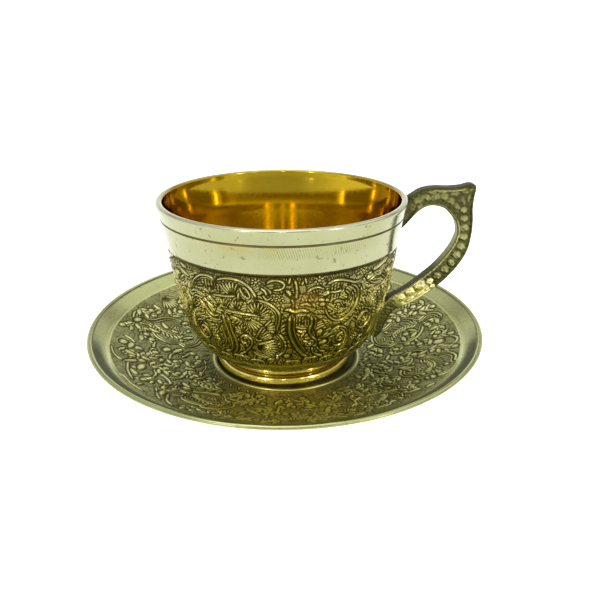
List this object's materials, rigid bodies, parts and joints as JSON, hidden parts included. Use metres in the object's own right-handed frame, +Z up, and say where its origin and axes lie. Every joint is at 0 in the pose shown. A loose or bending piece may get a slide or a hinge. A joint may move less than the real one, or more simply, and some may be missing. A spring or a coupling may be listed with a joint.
{
  "type": "cup and saucer",
  "caption": "Brass tea cup with a chased body, plain polished band, turned foot and flat ear-shaped handle, standing in the seat of a chased brass saucer.",
  "frame": {"origin": "centre of the saucer's flat underside", "axes": "+Z up; the cup's handle points along +X"},
  "size_m": [0.13, 0.13, 0.0606],
  "materials": {
    "polished_brass": "polished, faint turning lines",
    "chased_brass": "chased relief, darkened in the recesses",
    "antique_brass": "cast, darkened, rubbed bright on the edges"
  },
  "bodies": {
    "saucer": {"saucer_dish": "chased_brass"},
    "cup": {"cup_bowl": "polished_brass", "cup_foot_ring": "polished_brass", "cup_handle": "antique_brass"}
  },
  "joints": [
    {"name": "cup_lift", "type": "slide", "parent": "saucer", "child": "cup", "axis": [0, 0, 1], "range_m": [0, 0.1]}
  ]
}
